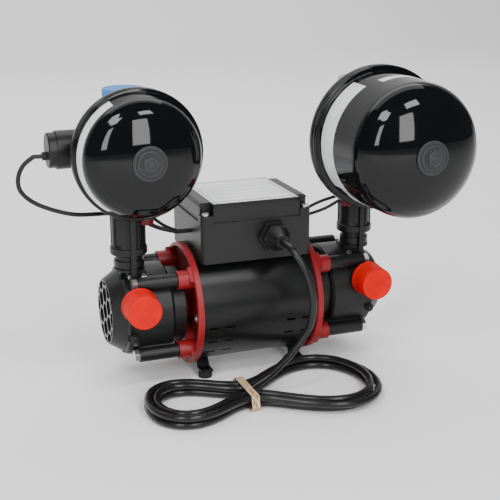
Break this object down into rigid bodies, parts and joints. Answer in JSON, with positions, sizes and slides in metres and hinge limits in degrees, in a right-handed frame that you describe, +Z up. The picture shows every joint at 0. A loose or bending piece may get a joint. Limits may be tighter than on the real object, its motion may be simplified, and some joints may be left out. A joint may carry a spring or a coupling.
{
  "type": "shower pump",
  "caption": "Twin shower pump with red end plates, capped inlets, risers carrying expansion vessels, and a tied mains lead",
  "frame": {"origin": "On the floor under the middle of the motor, at the centre of the four foot holes.", "axes": "+X along the motor shaft towards the larger vessel, +Y away from the inlets towards the back, +Z up."},
  "size_m": [0.4167, 0.2327, 0.311],
  "materials": {
    "barrel_black": "satin",
    "cast_red": "satin",
    "moulded_black": "satin",
    "vessel_black": "gloss",
    "cap_red": "satin",
    "cap_blue": "satin",
    "cap_grey": "satin",
    "zinc": "satin",
    "shaft_steel": "satin",
    "lamination": "matte",
    "copper": "satin",
    "impeller_grey": "satin",
    "rubber_black": "matte",
    "cord_black": "satin",
    "label_silver": "satin",
    "board_green": "satin",
    "can_grey": "satin",
    "switch_red": "satin",
    "tie_beige": "matte",
    "core_blue": "satin",
    "core_brown": "satin",
    "core_earth": "satin"
  },
  "bodies": {
    "pump": {"motor_barrel": "barrel_black", "stator_core": "lamination", "stator_windings": "copper", "bearings": "shaft_steel", "end_plate_left": "cast_red", "end_plate_right": "cast_red", "tie_rods": "zinc", "pump_housing_left": "moulded_black", "pump_housing_right": "moulded_black", "end_cover_left": "moulded_black", "end_cover_right": "moulded_black", "housing_bolts": "zinc", "shaft_seals": "rubber_black", "cover_seals": "rubber_black", "inlet_ports": "moulded_black", "outlet_ports": "moulded_black", "foot_bracket_left": "barrel_black", "foot_bracket_right": "barrel_black", "rubber_feet": "rubber_black", "terminal_box": "moulded_black", "box_lid": "moulded_black", "lid_screws": "zinc", "rating_plate": "label_silver", "control_board": "board_green", "run_capacitor": "can_grey", "gland_body": "moulded_black", "gland_nut": "moulded_black", "riser_left": "moulded_black", "riser_right": "moulded_black", "riser_straps": "moulded_black", "riser_screws": "zinc", "flow_switches": "switch_red", "flow_leads": "cord_black", "vessel_front_left": "vessel_black", "vessel_front_right": "vessel_black", "vessel_back_left": "vessel_black", "vessel_back_right": "vessel_black", "diaphragm_left": "rubber_black", "diaphragm_right": "rubber_black", "vessel_plug_left": "moulded_black", "vessel_plug_right": "moulded_black", "pressure_switch": "moulded_black", "pressure_lead": "cord_black", "mains_lead": "cord_black", "cord_hank": "cord_black", "cord_tie": "tie_beige", "core_blue": "core_blue", "core_brown": "core_brown", "core_earth": "core_earth"},
    "rotor": {"motor_shaft": "shaft_steel", "rotor_core": "lamination", "impeller_left": "impeller_grey", "impeller_right": "impeller_grey"},
    "float_left": {"flow_float_left": "cap_red"},
    "float_right": {"flow_float_right": "cap_red"},
    "inlet_cap_left": {"inlet_cap_left": "cap_red"},
    "inlet_cap_right": {"inlet_cap_right": "cap_red"},
    "outlet_cap_left": {"outlet_cap_left": "cap_blue"},
    "outlet_cap_right": {"outlet_cap_right": "cap_grey"}
  },
  "joints": [
    {"name": "shaft_spin", "type": "hinge", "parent": "pump", "child": "rotor", "pos_m": [0, 0, 0.072], "axis": [1, 0, 0], "continuous": true},
    {"name": "float_left_lift", "type": "slide", "parent": "pump", "child": "float_left", "axis": [0, 0, 1], "range_m": [0, 0.008]},
    {"name": "inlet_cap_left_pull", "type": "slide", "parent": "pump", "child": "inlet_cap_left", "axis": [0, -1, 0], "range_m": [0, 0.028]},
    {"name": "outlet_cap_left_pull", "type": "slide", "parent": "pump", "child": "outlet_cap_left", "axis": [0, 0, 1], "range_m": [0, 0.028]},
    {"name": "float_right_lift", "type": "slide", "parent": "pump", "child": "float_right", "axis": [0, 0, 1], "range_m": [0, 0.008]},
    {"name": "inlet_cap_right_pull", "type": "slide", "parent": "pump", "child": "inlet_cap_right", "axis": [0, -1, 0], "range_m": [0, 0.028]},
    {"name": "outlet_cap_right_pull", "type": "slide", "parent": "pump", "child": "outlet_cap_right", "axis": [0, 0, 1], "range_m": [0, 0.028]}
  ]
}
